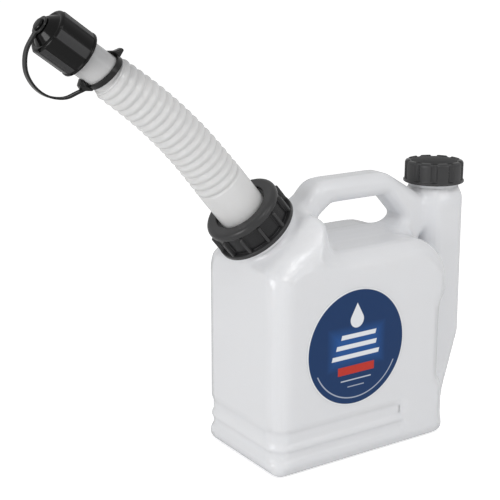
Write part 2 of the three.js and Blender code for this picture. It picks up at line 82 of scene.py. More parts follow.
# The spout, by the distance from its flange's underside along the centreline
SPOUT_START = np.array([-61.224, 149.952])
SPOUT_STRAIGHT = 39.3
SPOUT_BEND = math.radians(13.5)
SPOUT_BEND_LENGTH = 62.0
CORRUGATION_START = 26.0
CORRUGATIONS = 18
CORRUGATION_PITCH = 4.9
CUFF_START = CORRUGATION_START + CORRUGATIONS * CORRUGATION_PITCH
CUFF_END = 133.5
TIP_END = 151.5
CAP_RIM = 133.8

# The label's middle, on the face towards the viewer
LABEL_X = -8.9
LABEL_Y = -38.1
LABEL_Z = 71.0
LABEL_RADIUS = 35.0


# Curves and profiles

def smoothstep(low, high, value):
    """t t (3 - 2 t) of t = (value - low) / (high - low), held between 0 and 1."""
    t = np.clip((value - low) / (high - low), 0, 1)
    return t * t * (3 - 2 * t)


def rounded_path(corners, step=2.0, closed=False):
    """Corners (x, y, radius) as a line of points: each corner is an arc whose tangents start at
    radius / tan(half the corner's angle), and no straight piece is longer than the step."""
    points = []
    for i, (x, y, radius) in enumerate(corners):
        corner = np.array([x, y], float)
        if radius == 0:
            points.append(corner)
            continue
        before = np.array(corners[i - 1][:2]) - corner
        after = np.array(corners[(i + 1) % len(corners)][:2]) - corner
        before /= np.linalg.norm(before)
        after /= np.linalg.norm(after)
        half = math.acos(np.clip(before @ after, -1, 1)) / 2
        middle = (before + after) / np.linalg.norm(before + after)
        centre = corner + middle * radius / math.sin(half)
        first, last = [corner + way * radius / math.tan(half) - centre for way in (before, after)]
        start = math.atan2(first[1], first[0])
        turn = (math.atan2(last[1], last[0]) - start + math.pi) % (2 * math.pi) - math.pi
        count = max(3, math.ceil(abs(turn) / math.radians(12)))
        angles = start + turn * np.arange(count + 1) / count
        points.extend(centre + radius * np.stack([np.cos(angles), np.sin(angles)], -1))
    points = np.array(points)
    if closed:
        points = np.vstack([points, points[:1]])
    lengths = np.linalg.norm(np.diff(points, axis=0), axis=1)
    at = np.concatenate([[0], np.cumsum(lengths)])
    pieces = np.maximum(1, np.ceil(lengths / step)).astype(int)
    where = [np.linspace(at[i], at[i + 1], n, endpoint=False) for i, n in enumerate(pieces)]
    if not closed:
        where.append(at[-1:])
    where = np.concatenate(where)
    return np.stack([np.interp(where, at, points[:, k]) for k in (0, 1)], -1)


def thread(z, angle, start, end, offset):
    """Height from 0 to 1 of a right-handed ridge where z / pitch - angle / 2 pi - offset is whole,
    faded out over 1.5 mm at both ends."""
    phase = np.mod(z / THREAD_PITCH - angle / (2 * np.pi) - offset + 0.5, 1) - 0.5
    ends = smoothstep(start, start + 1.5, z) * smoothstep(end, end - 1.5, z)
    return smoothstep(0.26, 0.12, np.abs(phase)) * ends


def skin(points, closed_rows=False, closed_columns=True):
    """Quads between neighbours in a grid of points (rows, columns, 3)."""
    rows, columns = points.shape[:2]
    index = np.arange(rows * columns).reshape(rows, columns)
    if closed_rows:
        index = np.vstack([index, index[:1]])
    if closed_columns:
        index = np.hstack([index, index[:, :1]])
    quads = np.stack([index[:-1, :-1], index[:-1, 1:], index[1:, 1:], index[1:, :-1]], -1)
    return points.reshape(-1, 3), quads.reshape(-1, 4)


def turned(profile, angles, shape=None, closed=False):
    """A profile of (radius, z) turned about Z: (R cos a, R sin a, z) with R = shape(r, z, a)."""
    if np.isscalar(angles):
        angles = np.arange(angles) * 2 * np.pi / angles
    angle = angles[None, :]
    radius = profile[:, :1] + 0 * angle
    z = profile[:, 1:] + 0 * angle
    if shape:
        radius, z = shape(radius, z, angle + 0 * radius)
    points = np.stack([radius * np.cos(angle), radius * np.sin(angle), z], -1)
    return skin(points, closed_rows=closed)


def leaned(shell, point, lean):
    """Local Z leans by the angle towards -X, and the local origin goes to the point (x, z)."""
    points, faces = shell
    x, y, z = points.T
    placed = np.stack([point[0] + x * math.cos(lean) - z * math.sin(lean), y,
                       point[1] + x * math.sin(lean) + z * math.cos(lean)], -1)
    return placed, faces


def centreline(distance):
    """The spout's centreline: straight, an arc of angle 13.5 degrees, and straight again. Gives x, z
    and the lean at each distance from the flange's underside."""
    distance = np.asarray(distance, float)
    radius = SPOUT_BEND_LENGTH / SPOUT_BEND
    straight = np.minimum(distance, SPOUT_STRAIGHT)
    lean = NECK_TILT + np.clip(distance - SPOUT_STRAIGHT, 0, SPOUT_BEND_LENGTH) / radius
    rest = np.maximum(distance - SPOUT_STRAIGHT - SPOUT_BEND_LENGTH, 0)
    x = SPOUT_START[0] - straight * math.sin(NECK_TILT) - rest * np.sin(lean)
    z = SPOUT_START[1] + straight * math.cos(NECK_TILT) + rest * np.cos(lean)
    x = x - radius * (math.cos(NECK_TILT) - np.cos(lean))
    z = z + radius * (np.sin(lean) - math.sin(NECK_TILT))
    return x, z, lean


def on_spout(shell, distance):
    x, z, lean = centreline(distance)
    return leaned(shell, (float(x), float(z)), float(lean))


# Meshes

def flipped_outward(points, faces):
    """Turns the faces round if the volume sum of p0 . (p1 x p2) / 6 is negative."""
    corners = points[faces]
    volume = 0
    for k in range(1, faces.shape[1] - 1):
        across = np.cross(corners[:, k], corners[:, k + 1])
        volume += np.einsum("ij,ij->i", corners[:, 0], across).sum()
    return faces[:, ::-1] if volume < 0 else faces


def combined(shells, offset=0):
    """The points of closed shells in one array, and their faces in one list, turned outward and
    numbered on from the offset."""
    points = []
    faces = []
    for shell_points, shell_faces in shells:
        points.append(shell_points)
        faces.extend((flipped_outward(shell_points, shell_faces) + offset).tolist())
        offset += len(shell_points)
    return np.concatenate(points), faces


def mesh_of(name, points, faces, material, weld=True):
    """A smooth mesh from points in millimetres, with equal points welded where asked."""
    mesh = bpy.data.meshes.new(name)
    mesh.from_pydata((points * MM).tolist(), [], faces)
    mesh.validate()
    if weld:
        welded = bmesh.new()
        welded.from_mesh(mesh)
        bmesh.ops.remove_doubles(welded, verts=welded.verts, dist=1e-7)
        welded.to_mesh(mesh)
        welded.free()
    mesh.shade_smooth()
    mesh.materials.append(material)
    return mesh


def piece(name, shells, material, node, body=None):
    """One object from closed shells of (points, faces), in place of a node, riding a body if one is
    given."""
    points, faces = combined(shells)
    mesh = mesh_of(name, points, faces, material)
    thing = bpy.data.objects.new(name, mesh)
    bpy.context.scene.collection.objects.link(thing)
    if body:
        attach(thing, body)
    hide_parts(node)
    return thing


# Materials

def shader_of(material):
    return material.node_tree.nodes["Principled BSDF"]


def node_material(name, colour, roughness, **inputs):
    """A Principled material with constants on its sockets, named in lower case with underscores."""
    material = bpy.data.materials.new(name)
    material.use_nodes = True
    shader = shader_of(material)
    shader.inputs["Base Color"].default_value = (*colour, 1)
    shader.inputs["Roughness"].default_value = roughness
    for key, value in inputs.items():
        shader.inputs[key.replace("_", " ").title().replace("Ior", "IOR")].default_value = value
    return material


def grain_group():
    """Fine moulded grain: a normal bumped by a noise in object coordinates."""
    group = bpy.data.node_groups.new("moulded grain", "ShaderNodeTree")
    sockets = group.interface
    sockets.new_socket("Grain size", in_out="INPUT", socket_type="NodeSocketFloat")
    sockets.new_socket("Strength", in_out="INPUT", socket_type="NodeSocketFloat")
    sockets.new_socket("Normal", in_out="OUTPUT", socket_type="NodeSocketVector")
    nodes = group.nodes
    links = group.links
    given = nodes.new("NodeGroupInput")
    result = nodes.new("NodeGroupOutput")
    place = nodes.new("ShaderNodeTexCoord")
    fine = nodes.new("ShaderNodeTexNoise")
    fine.inputs["Detail"].default_value = 3
    bump = nodes.new("ShaderNodeBump")
    bump.inputs["Distance"].default_value = 0.0004
    links.new(place.outputs["Object"], fine.inputs["Vector"])
    links.new(given.outputs["Grain size"], fine.inputs["Scale"])
    links.new(given.outputs["Strength"], bump.inputs["Strength"])
    links.new(fine.outputs["Fac"], bump.inputs["Height"])
    links.new(bump.outputs["Normal"], result.inputs["Normal"])
    return group


GRAIN = grain_group()


def grained(material, size, strength):
    """Adds the moulded grain to a material's normal."""
    grain = material.node_tree.nodes.new("ShaderNodeGroup")
    grain.node_tree = GRAIN
    grain.inputs["Grain size"].default_value = size
    grain.inputs["Strength"].default_value = strength
    material.node_tree.links.new(grain.outputs["Normal"], shader_of(material).inputs["Normal"])


def plastic(name, colour, roughness, size, strength, **inputs):
    """A grained material: the size is the noise's scale, and the strength its bump's."""
    material = node_material(name, colour, roughness, **inputs)
    grained(material, size, strength)
    return material


class Sums:
    """Small node sums in one material: numbers, masks and layers of colour."""

    def __init__(self, material):
        self.nodes = material.node_tree.nodes
        self.links = material.node_tree.links
        place = self.nodes.new("ShaderNodeTexCoord")
        parts = self.nodes.new("ShaderNodeSeparateXYZ")
        self.links.new(place.outputs["Object"], parts.inputs[0])
        self.x, self.y, self.z = [self.value("MULTIPLY", parts.outputs[k], 1000) for k in range(3)]

    def put(self, slot, value):
        if hasattr(value, "links"):
            self.links.new(value, slot)
        else:
            slot.default_value = value

    def value(self, operation, first, second=0.0, third=0.0):
        node = self.nodes.new("ShaderNodeMath")
        node.operation = operation
        for slot, number in zip(node.inputs, (first, second, third)):
            self.put(slot, number)
        return node.outputs[0]

    def leaned(self, point, lean):
        """Distance to the side of an axis that leans towards -X from the point (x, z), and along it."""
        east = self.value("SUBTRACT", self.x, point[0])
        high = self.value("SUBTRACT", self.z, point[1])
        cosine = math.cos(lean)
        sine = math.sin(lean)
        side = self.value("MULTIPLY_ADD", east, cosine, self.value("MULTIPLY", high, sine))
        along = self.value("MULTIPLY_ADD", east, -sine, self.value("MULTIPLY", high, cosine))
        return side, along

    def length(self, first, second):
        """sqrt(a a + b b)."""
        both = self.value("MULTIPLY_ADD", first, first, self.value("MULTIPLY", second, second))
        return self.value("SQRT", both)

    def inside(self, distance, softness=0.15):
        """1 where the distance is below 0, over the softness in millimetres."""
        edge = self.nodes.new("ShaderNodeMapRange")
        self.put(edge.inputs["Value"], distance)
        edge.inputs["From Min"].default_value = softness
        edge.inputs["From Max"].default_value = -softness
        return edge.outputs[0]

    def over(self, under, colour, mask):
        """The colour laid over what is under it, where the mask is 1."""
        blend = self.nodes.new("ShaderNodeMix")
        blend.data_type = "RGBA"
        self.put(blend.inputs["Factor"], mask)
        self.put(blend.inputs[6], under)
        blend.inputs[7].default_value = (*colour, 1)
        return blend.outputs[2]


def polyethylene(name, colour, roughness):
    """Milky polyethylene: light scatters a few millimetres under the surface."""
    return plastic(name, colour, roughness, 900, 0.12, subsurface_weight=0.35,
                   subsurface_radius=(0.9, 0.95, 1.0), subsurface_scale=0.004, ior=1.5)


BODY = polyethylene("milky polyethylene", (0.80, 0.81, 0.835), 0.21)
STRAP = plastic("soft black plastic", (0.007, 0.007, 0.007), 0.22, 900, 0.06, specular_ior_level=0.38)
RUBBER = plastic("black rubber", (0.02, 0.02, 0.02), 0.7, 2500, 0.3)
FOAM = plastic("white foam", (0.78, 0.78, 0.74), 0.8, 3500, 0.5)


def label_material():
    """Printed film: fields of colour in the label's own millimetres, u to the right and v up."""
    material = node_material("printed film", (0.01, 0.03, 0.1), 0.42, specular_ior_level=0.25)
    blue = (0.006, 0.036, 0.125, 1)
    light_blue = (0.014, 0.085, 0.300)
    red = (0.53, 0.035, 0.022)
    white = (0.80, 0.82, 0.85)
    pale = (0.83, 0.85, 0.87)
    line = (0.55, 0.60, 0.68)
    faint_line = (0.40, 0.45, 0.55)
    sums = Sums(material)
    sum_of = sums.value
    inside = sums.inside
    over = sums.over
    u = sum_of("SUBTRACT", sums.x, LABEL_X)
    v = sum_of("SUBTRACT", sums.z, LABEL_Z)
    radius = sums.length(u, v)

    def bar(across, up, half_width, half_height, slant=0.0, softness=0.15):
        """A bar leaning by the slant: max(|u - slant v - across| - w, |v - up| - h) below 0."""
        leaning = sum_of("SUBTRACT", u, sum_of("MULTIPLY", sum_of("SUBTRACT", v, up), slant))
        wide = sum_of("SUBTRACT", sum_of("ABSOLUTE", sum_of("SUBTRACT", leaning, across)), half_width)
        high = sum_of("SUBTRACT", sum_of("ABSOLUTE", sum_of("SUBTRACT", v, up)), half_height)
        return inside(sum_of("MAXIMUM", wide, high), softness)

    colour = over(blue, light_blue, bar(0, 0.5, 17, 9, 0.0, 4.5))
    for across, up, half_width in ((1.5, 7.2, 12.5), (0.0, 1.2, 14.5), (-0.5, -4.8, 17.0)):
        colour = over(colour, white, bar(across, up, half_width, 1.35, 0.25))
    colour = over(colour, red, bar(0.0, -13.2, 13.2, 2.5))
    colour = over(colour, line, bar(0.0, -19.4, 11.0, 0.35))
    colour = over(colour, faint_line, bar(0.0, -23.4, 6.0, 0.3))
    # A plain drop: a disc with two straight flanks that meet at a point above it.
    drop_v = 16.6
    drop_radius = 4.8
    tip = 10.02
    flank_start = 2.3
    flank_u, flank_v = 0.878, 0.479
    high = sum_of("SUBTRACT", v, drop_v)
    flank = sum_of("ADD", sum_of("MULTIPLY", sum_of("ABSOLUTE", u), flank_u),
                   sum_of("MULTIPLY", sum_of("SUBTRACT", high, tip), flank_v))
    point = sum_of("MAXIMUM", flank, sum_of("SUBTRACT", flank_start, high))
    disc = sum_of("SUBTRACT", sums.length(u, high), drop_radius)
    colour = over(colour, white, inside(sum_of("MINIMUM", disc, point)))
    # A thin arc under the bars, and the pale edge of the film.
    arc = sum_of("SUBTRACT", sum_of("ABSOLUTE", sum_of("SUBTRACT", radius, 30.6)), 0.35)
    arc = sum_of("MAXIMUM", arc, sum_of("ADD", v, 13.0))
    colour = over(colour, faint_line, inside(arc))
    colour = over(colour, pale, inside(sum_of("SUBTRACT", 34.3, radius)))
    sums.put(shader_of(material).inputs["Base Color"], colour)
    grained(material, 300, 0.02)
    return material


def spout_material():
    """Greyer polyethylene than the bottle's, and darker at the cuff, where the cap's shade shows
    through the thin wall."""
    grey = (0.72, 0.72, 0.72)
    material = polyethylene("spout polyethylene", grey, 0.20)
    sums = Sums(material)
    shade = sums.inside(sums.value("SUBTRACT", 233, sums.z), 8)
    colour = sums.over((*grey, 1), (0.42, 0.42, 0.425), shade)
    sums.put(shader_of(material).inputs["Base Color"], colour)
    return material


def cap_material():
    """Gloss black, with the six raised bands in a lighter satin. A band is where the way round the
    cap's axis is within 2.35 mm of its middle line, and within the upright part."""
    black = (0.004, 0.004, 0.004)
    gloss = 0.13
    material = plastic("gloss black plastic", black, gloss, 500, 0.03, specular_ior_level=0.22)
    x, z, lean = [float(number) for number in centreline(CAP_RIM)]
    band_radius = 12.3
    band_half = 2.35
    band_middle = 10.9
    band_half_length = 9.4
    sums = Sums(material)
    side, height = sums.leaned((x, z), lean)
    angle = sums.value("ADD", sums.value("ARCTAN2", sums.y, side), 2 * math.pi)
    apart = sums.value("SUBTRACT", sums.value("MODULO", angle, math.pi / 3), math.pi / 6)
    apart = sums.value("MULTIPLY", sums.value("ABSOLUTE", apart), band_radius)
    ends = sums.value("ABSOLUTE", sums.value("SUBTRACT", height, band_middle))
    ends = sums.value("SUBTRACT", ends, band_half_length)
    mask = sums.inside(sums.value("MAXIMUM", sums.value("SUBTRACT", apart, band_half), ends), 0.2)
    colour = sums.over((*black, 1), (0.045, 0.045, 0.046), mask)
    shader = shader_of(material)
    sums.put(shader.inputs["Base Color"], colour)
    sums.put(shader.inputs["Roughness"], sums.value("MULTIPLY_ADD", mask, 0.22, gloss))
    return material


def ring_material():
    """Charcoal, with painted shade: a deeper black painted on the recessed wall between the ribs, within
    22.1 mm of the axis and under the top, and the darkest painted shade on the inner lip, so the bore
    reads dark."""
    charcoal = (0.034, 0.034, 0.035)
    material = plastic("ring charcoal", charcoal, 0.27, 1800, 0.12, specular_ior_level=0.38)
    sums = Sums(material)
    side, height = sums.leaned(NECK_FOOT, NECK_TILT)
    radius = sums.length(side, sums.y)
    recess = sums.value("MAXIMUM", sums.value("SUBTRACT", radius, 22.1),
                        sums.value("SUBTRACT", height, 21.6))
    lip = sums.value("SUBTRACT", radius, 16.0)
    # Painted shade: the recessed wall under the overhanging top is darkened as if shaded.
    colour = sums.over((*charcoal, 1), (0.010, 0.010, 0.011), sums.inside(recess, 0.2))
    # Painted shade: the inner lip is darkest, so the gap round the spout reads as shadow.
    colour = sums.over(colour, (0.003, 0.003, 0.003), sums.inside(lip, 0.2))
    sums.put(shader_of(material).inputs["Base Color"], colour)
    return material


def oil_cap_material():
    """Charcoal, with a darker and duller disc inside the collar: the darker colour is painted shade on
    the top face, and the disc is also rougher with less specular.
    """
    charcoal = (0.042, 0.042, 0.043)
    satin = 0.27
    specular = 0.35
    material = plastic("charcoal plastic", charcoal, satin, 1800, 0.12, specular_ior_level=specular)
    sums = Sums(material)
    radius = sums.length(sums.value("SUBTRACT", sums.x, TOWER_X), sums.y)
    disc = sums.inside(sums.value("MAXIMUM", sums.value("SUBTRACT", radius, 14.4),
                                  sums.value("SUBTRACT", 163.5, sums.z)), 0.2)
    # Painted shade: the upward disc's colour is darkened to dim the top.
    colour = sums.over((*charcoal, 1), (0.012, 0.012, 0.013), disc)
    shader = shader_of(material)
    sums.put(shader.inputs["Base Color"], colour)
    sums.put(shader.inputs["Roughness"], sums.value("MULTIPLY_ADD", disc, 0.2, satin))
    sums.put(shader.inputs["Specular IOR Level"], sums.value("MULTIPLY_ADD", disc, -0.22, specular))
    return material


SPOUT = spout_material()
OIL_CAP = oil_cap_material()
RING = ring_material()
GLOSS = cap_material()


# The bottle: a field of signed distances on a grid, meshed where it is zero

def smooth_min(a, b, k):
    """min(a, b) - h h k / 4 with h = max(k - |a - b|, 0) / k: a fillet about k wide."""
    h = np.maximum(k - np.abs(a - b), 0) / k
    return np.minimum(a, b) - h * h * k / 4


def round_max(a, b, r):
    """Both a < 0 and b < 0, with the edge between them rounded to the radius r."""
    u = np.maximum(a + r, 0)
    v = np.maximum(b + r, 0)
    return np.minimum(-r, np.maximum(a, b)) + np.sqrt(u * u + v * v)


def outline_distance(corners, x, z):
    """Signed distance to a closed outline of (x, z, radius) corners, negative inside."""
    outline = rounded_path(corners, 1000, closed=True)
    nearest = np.full(np.broadcast(x, z).shape, 1e9)
    within = np.zeros(nearest.shape, bool)
    for start, end in zip(outline, np.roll(outline, -1, axis=0)):
        edge = end - start
        if edge @ edge < 1e-12:
            continue
        u = x - start[0]
        v = z - start[1]
        t = np.clip((u * edge[0] + v * edge[1]) / (edge @ edge), 0, 1)
        nearest = np.minimum(nearest, (u - t * edge[0]) ** 2 + (v - t * edge[1]) ** 2)
        rise = edge[1] if abs(edge[1]) > 1e-9 else 1e-9
        crosses = (start[1] > z) != (end[1] > z)
        within ^= crosses & (u < edge[0] * v / rise)
    return np.where(within, -1, 1) * np.sqrt(nearest)


def chamber_field(x, y, z):
    """The main chamber: its side outline and |y| less the half width, with the edge's radius 10 on
    the upright corners, 16 along the slope, 20 over the hump and 3 less at the base. Grooves and
    the end recess move the faces in, and the saddle is crowned."""
    outline = outline_distance([
        (-HALF_LENGTH, 0, 7), (HALF_LENGTH, 0, 7), (HALF_LENGTH, SADDLE, 29), (-21.4, SADDLE, 7),
        (-24.4, HUMP, 7), (-32.0, HUMP, 10), (-HALF_LENGTH, 121.0, 8)], x, z)
    bands = sum(smoothstep(start - 0.9, start + 0.9, z) * smoothstep(end + 1.2, end - 1.8, z)
                for start, end in ((10.5, 16.5), (20.0, 28.5)))
    groove = 0.85 * bands * smoothstep(31, 27, x)
    recess = 5 * smoothstep(30, 42, z) * smoothstep(94, 82, z) * smoothstep(44, 60, x)
    ahead = smoothstep(-14, -34, x)
    radius = 10 + 6 * ahead * smoothstep(110, 126, z) + 4 * ahead * smoothstep(128, 142, z)
    radius = radius - 3 * smoothstep(14, 3, z)
    crown = 0.9 * (y / HALF_WIDTH) ** 2 * smoothstep(100, 124, z) * smoothstep(-24, -14, x)
    return round_max(outline + groove + recess + crown, np.abs(y) - HALF_WIDTH + groove, radius)


def handle_field(x, y, z):
    """The handle: its side outline less the finger gap, and |y| less half its width, rounded to
    5.5."""
    outline = outline_distance([
        (-37, 100, 0), (56.8, 100, 0), (65.7, 125, 6.5), (74.1, 127, 0), (74.1, 138.5, 0),
        (65.1, 145.5, 12), (36, HANDLE_TOP, 14), (-15, HANDLE_TOP, 16), (-30, 145, 8)], x, z)
    gap = outline_distance([
        (-15, 121, 0), (-15, 141.5, 4), (-5, 149, 6),
        (36, 149, 3.5), (50, 134, 3.5), (41, 121, 0)], x, z)
    return round_max(np.maximum(outline, -gap), np.abs(y) - HANDLE_HALF, 5.5)


def tower_field(x, y, z):
    """The oil tower: its side outline with the foot leaning in, and |y| less half its width,
    rounded to 6.5."""
    outline = outline_distance([
        (TOWER_START, 3, 2), (79.7, 3, 5), (94.9, 55, 14),
        (93.7, TOWER_TOP, 5.5), (TOWER_START, TOWER_TOP, 5.5)], x, z)
    return round_max(outline, np.abs(y) - TOWER_HALF, 6.5)


def link_field(x, y, z):
    """The foot between chamber and tower, as wide as the tower, and the pinched web above it, two
    walls thick."""
    foot = outline_distance([(55, 3, 0), (80, 3, 0), (80, 30, 0), (55, 30, 0)], x, z)
    web = outline_distance([(36, 29, 0), (74, 29, 0), (74, 126, 0), (36, 97, 0)], x, z)
    foot = round_max(foot, np.abs(y) - TOWER_HALF, 1.5)
    return smooth_min(foot, np.maximum(web, np.abs(y) - WALL), 3)


def bottle_field(x, y, z):
    """Everything joined with fillets, less the hollow a wall's thickness inside and the two bores.
    Each neck has a short root here, that its tube stands in."""
    east = x - NECK_FOOT[0]
    high = z - NECK_FOOT[1]
    across = east * math.cos(NECK_TILT) + high * math.sin(NECK_TILT)
    above = high * math.cos(NECK_TILT) - east * math.sin(NECK_TILT)
    from_neck = np.sqrt(across ** 2 + y ** 2)
    from_tower = np.sqrt((x - TOWER_X) ** 2 + y ** 2)
    grip = smooth_min(handle_field(x, y, z), tower_field(x, y, z), 6)
    whole = smooth_min(chamber_field(x, y, z), grip, 2.2 + 9 * smoothstep(63, 50, x))
    cavity = whole + WALL
    neck_root = np.maximum(round_max(from_neck - 20.4, above - 4.2, 0.8), -above - 8)
    whole = smooth_min(whole, neck_root, 4)
    whole = smooth_min(whole, link_field(x, y, z), 2.5)
    oil_root = np.maximum(np.maximum(from_tower - OIL_NECK_RADIUS, z - 150.5), 140 - z)
    whole = smooth_min(whole, oil_root, 3.5)
    neck_bore = np.maximum(np.maximum(from_neck - 17.6, above - 9), -above - 10)
    oil_bore = np.maximum(np.maximum(from_tower - 13.9, z - 155), 138 - z)
    return np.maximum(whole, -np.minimum(cavity, np.minimum(neck_bore, oil_bore)))


def bottle_shell(cell=1.2, adaptivity=0.1):
    """Meshes the field on a grid of cells, and takes each point's normal from the field's slope,
    blended between the eight grid points round it."""
    low = np.array([-68.0, -42.0, -4.0])
    size = np.array([166.0, 84.0, 172.0])
    count = (size / cell).astype(int) + 1
    x, y, z = [low[k] + cell * np.arange(count[k]) for k in range(3)]
    field = bottle_field(x[:, None, None], y[None, :, None], z[None, None, :]).astype(np.float32)
    band = 3 * cell
    grid = openvdb.FloatGrid(band)
    grid.copyFromArray(np.clip(field, -band, band))
    points, triangles, quads = grid.convertToPolygons(isovalue=0.0, adaptivity=adaptivity)
    slopes = np.stack(np.gradient(field), -1)
    base = np.clip(np.floor(points).astype(int), 0, count - 2)
    share = points - base
    normals = 0
    for corner in np.ndindex(2, 2, 2):
        weight = np.prod(np.where(np.array(corner) == 1, share, 1 - share), axis=1)
        i, j, k = (base + corner).T
        normals = normals + weight[:, None] * slopes[i, j, k]
    normals /= np.linalg.norm(normals, axis=1)[:, None] + 1e-12
    return points * cell + low, triangles, quads, normals


def neck_tube(bore, radius, start, bead, lip):
    """A neck with its thread from under the surface to the lip, and with the bead's top at a height
    if one is given."""
    outside = [(bore, start, 0), (radius, start, 0)]
    if bead:
        outside += [(radius + 0.9, bead - 2.6, 0.6), (radius + 2.3, bead - 1.9, 0.5),
                    (radius + 2.3, bead, 0.5), (radius, bead, 0.3)]
    profile = rounded_path(outside + [(radius, lip, 0.6), (bore, lip, 0.5)], 0.45, closed=True)
    first = bead + 0.8 if bead else start + 3.5

    def shape(r, z, a):
        ridge = thread(z, a, first, lip - 0.8, 0.0) * (np.abs(r - radius) < 0.05)
        return r + 0.33 * ridge, z
    return turned(profile, 96, shape, closed=True)


def build_bottle():
    """The shell with the field's normals, and the two necks with their own."""
    shell, triangles, quads, normals = bottle_shell()
    neck = neck_tube(NECK_BORE, NECK_RADIUS, -1.0, NECK_BEAD, NECK_LIP)
    oil_neck = neck_tube(OIL_NECK_BORE, OIL_NECK_RADIUS, OIL_NECK_START, 0, OIL_LIP)
    necks, neck_faces = combined([leaned(neck, NECK_FOOT, NECK_TILT), leaned(oil_neck, (TOWER_X, 0), 0)],
                                 len(shell))
    faces = triangles.tolist() + quads.tolist() + neck_faces
    mesh = mesh_of("bottle_shell", np.concatenate([shell, necks]), faces, BODY, weld=False)
    directions = np.zeros((len(mesh.vertices), 3), np.float32)
    mesh.vertex_normals.foreach_get("vector", directions.ravel())
    directions[:len(shell)] = normals
    mesh.normals_split_custom_set_from_vertices(directions)
    thing = bpy.data.objects.new("bottle_shell", mesh)
    bpy.context.scene.collection.objects.link(thing)
    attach(thing, "bottle")
    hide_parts("bottle")


def build_label():
    """A disc with a rounded front edge, turned about the label's own axis."""
    thick = 0.3
    profile = rounded_path([
        (0, 0, 0), (LABEL_RADIUS, 0, 0), (LABEL_RADIUS, thick, 0.2), (0, thick, 0)], 4)
    points, faces = turned(profile, 128)
    x, y, z = points.T
    placed = np.stack([x + LABEL_X, LABEL_Y - z, y + LABEL_Z], -1)
    piece("label_film", [(placed, faces)], label_material(), "label", "bottle")


def rib_angles(count, first, radius, offsets, between):
    """Angles round a ring: close together at each rib's edges, given as offsets in millimetres at
    the radius, and evenly spaced between the ribs."""
    centres = first + np.arange(count) * 2 * np.pi / count
    near = np.concatenate([-np.array(offsets)[::-1], [0], offsets]) / radius
    gap = 2 * np.pi / count
    spare = np.linspace(near[-1], gap + near[0], between + 2)[1:-1]
    angles = centres[:, None] + np.concatenate([near, spare])[None, :]
    return np.sort(np.mod(angles.ravel(), 2 * np.pi))


def build_ring():
    """The ring nut: a rounded top that overhangs a recessed wall with 12 thin ribs, a thin rim, and
    an inner lip close to the spout."""
    rim = 7.55
    top = 25.65
    bore = 19.6
    wall = 21.5
    rim_radius = 24.2
    top_radius = 22.8
    lip = 14.2
    profile = rounded_path([
        (bore, rim, 0.3), (rim_radius, rim, 0.5), (rim_radius, rim + 2.4, 0.6), (wall, rim + 2.4, 0.5),
        (wall, top - 4.2, 0.4), (top_radius, top - 4.2, 0.6), (top_radius, top, 2.5), (15.6, top, 0.6),
        (15.6, 24.0, 0.2), (lip, 23.8, 0.2), (lip, 23.15, 0.1), (bore, 23.15, 0)], 0.4, closed=True)
    ribs = 12
    spacing = 2 * np.pi / ribs
    turn = math.radians(13.5)
    angles = rib_angles(ribs, turn, wall, [0.4, 0.65, 0.8, 0.95, 1.15, 1.6], 6)

    def shape(r, z, a):
        apart = np.abs(np.mod(a - turn + spacing / 2, spacing) - spacing / 2) * wall
        rib = smoothstep(1.1, 0.68, apart) * smoothstep(top - 4.4, top - 5.2, z) * (z > rim + 2.45)
        on_wall = (np.abs(r - wall) < 0.06) & (z < top - 4.25)
        on_bore = np.abs(r - bore) < 0.05
        ridge = thread(z, a, rim + 0.8, 22.6, 0.5)
        return r + np.where(on_wall, 2.3 * rib, 0) - np.where(on_bore, 0.3 * ridge, 0), z
    ring = leaned(turned(profile, angles, shape, closed=True), NECK_FOOT, NECK_TILT)
    piece("pour_ring_nut", [ring], RING, "pour_ring", "ring")


def build_spout():
    """The spout's profile along its centreline. A corrugation falls from its crest by
    d (t t + sin(pi t / 2) ^ 2) / 2 for the depth d and t from -1 to 1 across the pitch, so the crests
    are round and the valleys narrow. The inside follows it a wall's thickness away."""
    per = 12
    depth = 1.15
    wall = 1.2
    first_crest = 13.95
    taper = 2.05
    flange = 18.6
    base_radius = 13.9
    cuff_radius = 9.6
    tip_radius = 9.1
    tip_bore = 7.9
    cuff_bore = 8.4
    steps = np.arange(CORRUGATIONS * per + 1)
    distance = CORRUGATION_START + steps * CORRUGATION_PITCH / per
    crest = first_crest - taper * steps / (CORRUGATIONS * per)
    across = 2 * np.mod(steps / per, 1) - 1
    bulge = -depth * (across ** 2 + np.sin(np.pi / 2 * across) ** 2) / 2
    scallops = np.stack([crest + bulge, distance], -1)
    base = rounded_path([
        (12.7, 0, 0), (flange, 0, 0.3), (flange, 1.5, 0.3), (base_radius, 1.5, 0.6),
        (base_radius, 25.0, 0), (13.8, 25.5, 0)], 1.5)
    cuff = rounded_path([
        (10.9, CUFF_START, 0), (10.7, CUFF_START + 0.8, 0.5), (cuff_radius, CUFF_START + 1.2, 0.6),
        (cuff_radius, CUFF_END, 0.3), (tip_radius, CUFF_END, 0.2), (tip_radius, TIP_END, 0.5),
        (tip_bore, TIP_END, 0.5), (tip_bore, CUFF_END, 1.0), (cuff_bore, CUFF_END - 4, 0),
        (cuff_bore, CUFF_START, 0)], 0.35)
    inside = np.stack([crest + bulge - wall, distance], -1)[::-3]
    profile = np.vstack([base, scallops, cuff, inside])
    sides = 112
    angle = (np.arange(sides) * 2 * np.pi / sides)[None, :]
    radius = profile[:, :1] + 0 * angle
    along = profile[:, 1:] + 0 * angle
    ridge = thread(along, angle + 0 * radius, CUFF_END + 1.0, TIP_END - 1.0, 0.0)
    radius = radius + 0.45 * ridge * (np.abs(radius - tip_radius) < 0.02)
    x, z, lean = centreline(along)
    points = np.stack([x + radius * np.cos(angle) * np.cos(lean), radius * np.sin(angle),
                       z + radius * np.cos(angle) * np.sin(lean)], -1)
    piece("corrugated_spout", [skin(points, closed_rows=True)], SPOUT, "flexible_spout", "spout")


